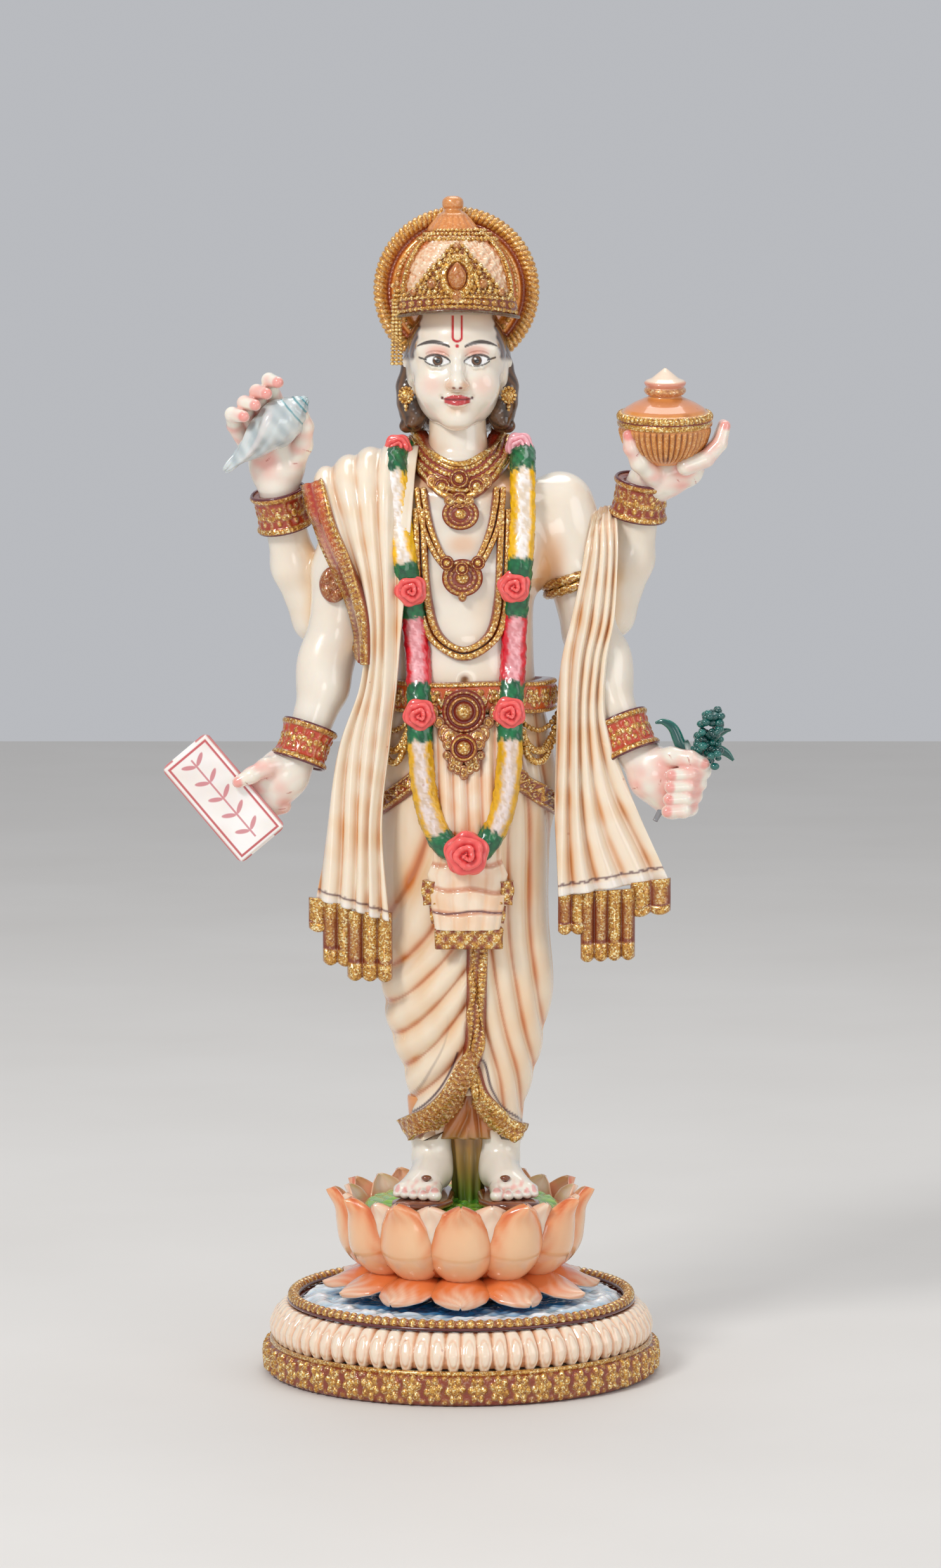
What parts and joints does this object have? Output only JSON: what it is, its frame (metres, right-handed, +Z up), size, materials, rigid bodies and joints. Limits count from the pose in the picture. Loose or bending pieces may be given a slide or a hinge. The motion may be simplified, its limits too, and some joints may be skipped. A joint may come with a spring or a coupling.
{
  "type": "hindu deity statue",
  "caption": "Painted cast-resin figurine of a standing four-armed deity with a round halo crown, garland and shawl, on a lotus flower and a round plinth.",
  "frame": {"origin": "centre of the plinth's flat underside", "axes": "+Z up through the figure, the figure faces -Y, +X is at a viewer's right"},
  "size_m": [0.121, 0.086, 0.2514],
  "materials": {
    "plinth_cream": "glossy painted resin",
    "gold_paint": "glitter gold paint on resin",
    "water_paint": "glossy",
    "petal_paint": "glossy air-brushed",
    "pod_paint": "glossy",
    "skin": "glossy white resin",
    "cloth_cream": "glossy cream resin with air-brushed folds",
    "sandal_paint": "glossy",
    "steel_pin": "bare",
    "hair_paint": "glossy",
    "flower_yellow": "glossy",
    "rose_paint": "glossy",
    "shell_paint": "glossy",
    "herb_paint": "glossy"
  },
  "bodies": {
    "root": {"armband": "gold_paint", "base_plinth": "plinth_cream", "bead_ring": "gold_paint", "belt": "gold_paint", "belt_buckle": "gold_paint", "choker": "gold_paint", "conch": "shell_paint", "crown_dome": "cloth_cream", "crown_plate": "gold_paint", "dhoti": "cloth_cream", "dhoti_border": "gold_paint", "earring_left": "gold_paint", "earring_right": "gold_paint", "finial": "gold_paint", "foot_left": "skin", "foot_right": "skin", "front_left_arm": "skin", "front_left_bracelet": "gold_paint", "front_pleats": "cloth_cream", "front_right_arm": "skin", "front_right_bracelet": "gold_paint", "gadroon_band": "plinth_cream", "garland": "flower_yellow", "hair": "hair_paint", "halo": "gold_paint", "head": "skin", "herbs": "herb_paint", "hip_sash": "gold_paint", "leg_pin_left": "steel_pin", "leg_pin_right": "steel_pin", "lotus_cup": "petal_paint", "lotus_skirt": "petal_paint", "necklace_long": "gold_paint", "necklace_short": "gold_paint", "nectar_pot": "gold_paint", "plaque": "skin", "pleats_hem": "gold_paint", "rear_left_arm": "skin", "rear_left_bracelet": "gold_paint", "rear_right_arm": "skin", "rear_right_bracelet": "gold_paint", "rose_centre": "rose_paint", "rose_chest_left": "rose_paint", "rose_chest_right": "rose_paint", "rose_shoulder_left": "rose_paint", "rose_shoulder_right": "rose_paint", "rose_waist_left": "rose_paint", "rose_waist_right": "rose_paint", "rosette_band": "gold_paint", "sandal_left": "sandal_paint", "sandal_right": "sandal_paint", "seed_pod": "pod_paint", "shawl_left": "cloth_cream", "shawl_left_hem": "gold_paint", "shawl_right": "cloth_cream", "shawl_right_border": "gold_paint", "shawl_right_hem": "gold_paint", "stand_dowel": "steel_pin", "torso": "skin", "water_disc": "water_paint"}
  },
  "joints": []
}
